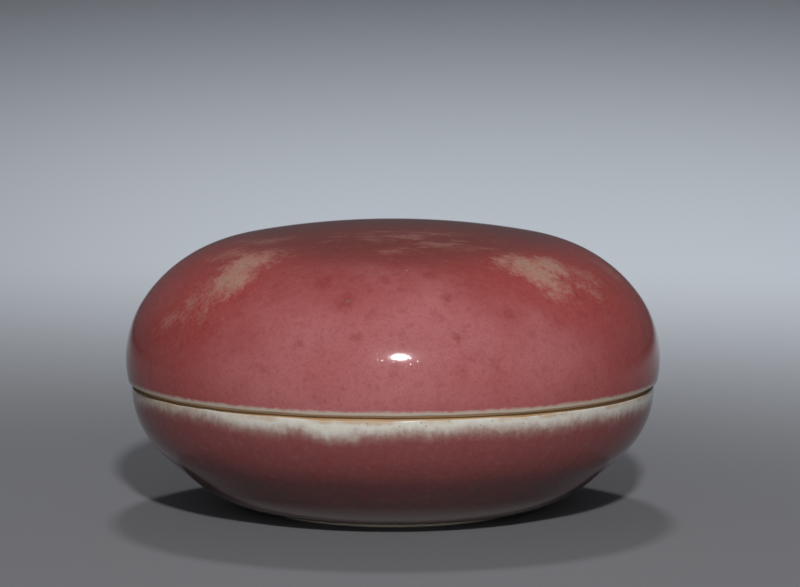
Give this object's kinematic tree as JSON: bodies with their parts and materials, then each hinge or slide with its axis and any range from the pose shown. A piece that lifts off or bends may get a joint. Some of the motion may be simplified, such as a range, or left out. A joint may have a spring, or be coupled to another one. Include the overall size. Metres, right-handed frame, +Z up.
{
  "type": "seal paste box",
  "caption": "Round flattened porcelain box with a domed lift-off lid, mottled copper-red glaze and a white glazed well that holds vermilion seal paste.",
  "frame": {"origin": "on the box's axis, at the plane that the foot ring stands on", "axes": "+Z up along the axis, from the foot ring through the crown of the lid; the box is round, so X and Y are any two directions across it, and the picture looks along +Y"},
  "size_m": [0.072, 0.072, 0.0386],
  "materials": {
    "bare_porcelain": "matte",
    "red_glaze": "gloss",
    "white_glaze": "gloss",
    "seal_paste": "satin"
  },
  "bodies": {
    "box": {"box_body": "bare_porcelain", "box_red_glaze": "red_glaze", "box_white_glaze": "white_glaze", "foot_white_glaze": "white_glaze", "seal_paste": "seal_paste"},
    "lid": {"lid_body": "bare_porcelain", "lid_red_glaze": "red_glaze", "lid_white_glaze": "white_glaze"}
  },
  "joints": [
    {"name": "lid_lift", "type": "slide", "parent": "box", "child": "lid", "axis": [0, 0, 1], "range_m": [0, 0.05]}
  ]
}
